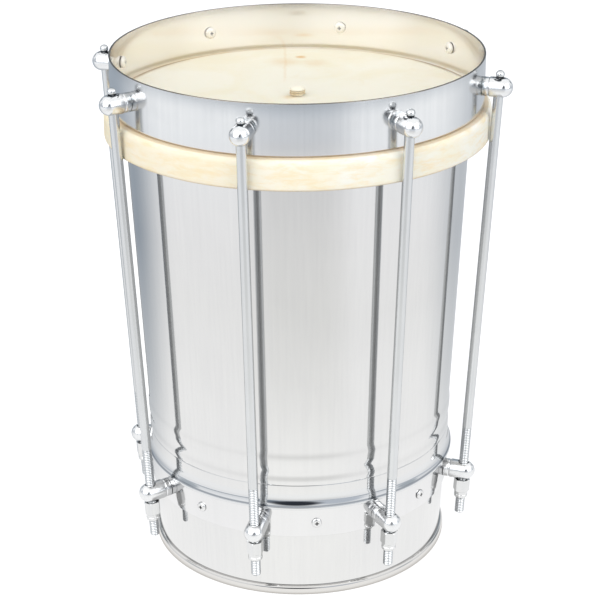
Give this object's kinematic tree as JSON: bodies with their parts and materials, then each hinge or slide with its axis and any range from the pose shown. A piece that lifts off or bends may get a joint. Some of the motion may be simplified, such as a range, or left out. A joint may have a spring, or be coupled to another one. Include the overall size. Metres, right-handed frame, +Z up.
{
  "type": "cuica",
  "caption": "Conical metal friction drum with a hide head, counterhoop, tension rods with nuts, and a bamboo stick tied under the skin.",
  "frame": {"origin": "centre of the shell's foot, on the surface that the drum stands on", "axes": "+Z up along the axis of the shell towards the head; +X and +Y point between two lugs, at screws of the lug band"},
  "size_m": [0.2574, 0.2574, 0.3424],
  "materials": {
    "shell_metal": "polished sheet metal with fine upright streaks",
    "band_metal": "polished strip",
    "hoop_metal": "plated, soft mirror",
    "chrome": "mirror plated",
    "rod_metal": "zinc plated steel rod",
    "nut_metal": "plated long hexagon nut",
    "screw_metal": "plated screw",
    "skin": "scraped pale hide with faint stains",
    "hide": "varnished cream hide wrapped over the hoop",
    "hoop_wood": "plain bent wood",
    "thread": "waxed thread",
    "bamboo": "bare bamboo"
  },
  "bodies": {
    "shell_body": {"shell": "shell_metal", "lug_band": "band_metal", "playing_skin": "skin", "lower_lug_1": "chrome", "lower_lug_2": "chrome", "lower_lug_3": "chrome", "lower_lug_4": "chrome", "lower_lug_5": "chrome", "lower_lug_6": "chrome", "lower_lug_7": "chrome", "lower_lug_8": "chrome", "band_screw_1": "screw_metal", "band_screw_2": "screw_metal", "band_screw_3": "screw_metal", "band_screw_4": "screw_metal", "band_screw_5": "screw_metal", "band_screw_6": "screw_metal", "band_screw_7": "screw_metal", "band_screw_8": "screw_metal"},
    "hoop_body": {"counterhoop": "hoop_metal", "flesh_hoop": "hoop_wood", "tucked_hide": "hide", "upper_lug_1": "chrome", "upper_lug_2": "chrome", "upper_lug_3": "chrome", "upper_lug_4": "chrome", "upper_lug_5": "chrome", "upper_lug_6": "chrome", "upper_lug_7": "chrome", "upper_lug_8": "chrome", "upper_lug_screw_1": "screw_metal", "upper_lug_screw_2": "screw_metal", "upper_lug_screw_3": "screw_metal", "upper_lug_screw_4": "screw_metal", "upper_lug_screw_5": "screw_metal", "upper_lug_screw_6": "screw_metal", "upper_lug_screw_7": "screw_metal", "upper_lug_screw_8": "screw_metal", "tension_rod_1": "rod_metal", "tension_rod_2": "rod_metal", "tension_rod_3": "rod_metal", "tension_rod_4": "rod_metal", "tension_rod_5": "rod_metal", "tension_rod_6": "rod_metal", "tension_rod_7": "rod_metal", "tension_rod_8": "rod_metal"},
    "nut_body_1": {"tension_nut_1": "nut_metal"},
    "nut_body_2": {"tension_nut_2": "nut_metal"},
    "nut_body_3": {"tension_nut_3": "nut_metal"},
    "nut_body_4": {"tension_nut_4": "nut_metal"},
    "nut_body_5": {"tension_nut_5": "nut_metal"},
    "nut_body_6": {"tension_nut_6": "nut_metal"},
    "nut_body_7": {"tension_nut_7": "nut_metal"},
    "nut_body_8": {"tension_nut_8": "nut_metal"},
    "nub_body": {"skin_nub": "skin", "nub_binding": "thread"},
    "stick_body": {"stick": "bamboo"}
  },
  "joints": [
    {"name": "hoop_slide", "type": "slide", "parent": "shell_body", "child": "hoop_body", "axis": [0, 0, -1], "range_m": [-0.004, 0.006]},
    {"name": "nut_turn_1", "type": "hinge", "parent": "shell_body", "child": "nut_body_1", "pos_m": [0.1058, 0.04382, 0.04049], "axis": [0.0509, 0.0211, 0.9985], "range_deg": [-1140, 1705]},
    {"name": "nut_turn_2", "type": "hinge", "parent": "shell_body", "child": "nut_body_2", "pos_m": [0.04382, 0.1058, 0.04049], "axis": [0.0211, 0.0509, 0.9985], "range_deg": [-1140, 1705]},
    {"name": "nut_turn_3", "type": "hinge", "parent": "shell_body", "child": "nut_body_3", "pos_m": [-0.04382, 0.1058, 0.04049], "axis": [-0.0211, 0.0509, 0.9985], "range_deg": [-1140, 1705]},
    {"name": "nut_turn_4", "type": "hinge", "parent": "shell_body", "child": "nut_body_4", "pos_m": [-0.1058, 0.04382, 0.04049], "axis": [-0.0509, 0.0211, 0.9985], "range_deg": [-1140, 1705]},
    {"name": "nut_turn_5", "type": "hinge", "parent": "shell_body", "child": "nut_body_5", "pos_m": [-0.1058, -0.04382, 0.04049], "axis": [-0.0509, -0.0211, 0.9985], "range_deg": [-1140, 1705]},
    {"name": "nut_turn_6", "type": "hinge", "parent": "shell_body", "child": "nut_body_6", "pos_m": [-0.04382, -0.1058, 0.04049], "axis": [-0.0211, -0.0509, 0.9985], "range_deg": [-1140, 1705]},
    {"name": "nut_turn_7", "type": "hinge", "parent": "shell_body", "child": "nut_body_7", "pos_m": [0.04382, -0.1058, 0.04049], "axis": [0.0211, -0.0509, 0.9985], "range_deg": [-1140, 1705]},
    {"name": "nut_turn_8", "type": "hinge", "parent": "shell_body", "child": "nut_body_8", "pos_m": [0.1058, -0.04382, 0.04049], "axis": [0.0509, -0.0211, 0.9985], "range_deg": [-1140, 1705]},
    {"name": "stick_lean_side", "type": "hinge", "parent": "shell_body", "child": "nub_body", "pos_m": [0, 0, 0.3122], "axis": [1, 0, 0], "range_deg": [-3, 3], "stiffness_Nm_per_rad": 2},
    {"name": "stick_lean_front", "type": "hinge", "parent": "nub_body", "child": "stick_body", "pos_m": [0, 0, 0.3122], "axis": [0, 1, 0], "range_deg": [-3, 3], "stiffness_Nm_per_rad": 2}
  ],
  "couplings": [
    {"joint": "nut_turn_1", "follows": "hoop_slide", "rad_per_m": 4939.9},
    {"joint": "nut_turn_2", "follows": "hoop_slide", "rad_per_m": 4939.9},
    {"joint": "nut_turn_3", "follows": "hoop_slide", "rad_per_m": 4939.9},
    {"joint": "nut_turn_4", "follows": "hoop_slide", "rad_per_m": 4939.9},
    {"joint": "nut_turn_5", "follows": "hoop_slide", "rad_per_m": 4939.9},
    {"joint": "nut_turn_6", "follows": "hoop_slide", "rad_per_m": 4939.9},
    {"joint": "nut_turn_7", "follows": "hoop_slide", "rad_per_m": 4939.9},
    {"joint": "nut_turn_8", "follows": "hoop_slide", "rad_per_m": 4939.9}
  ]
}
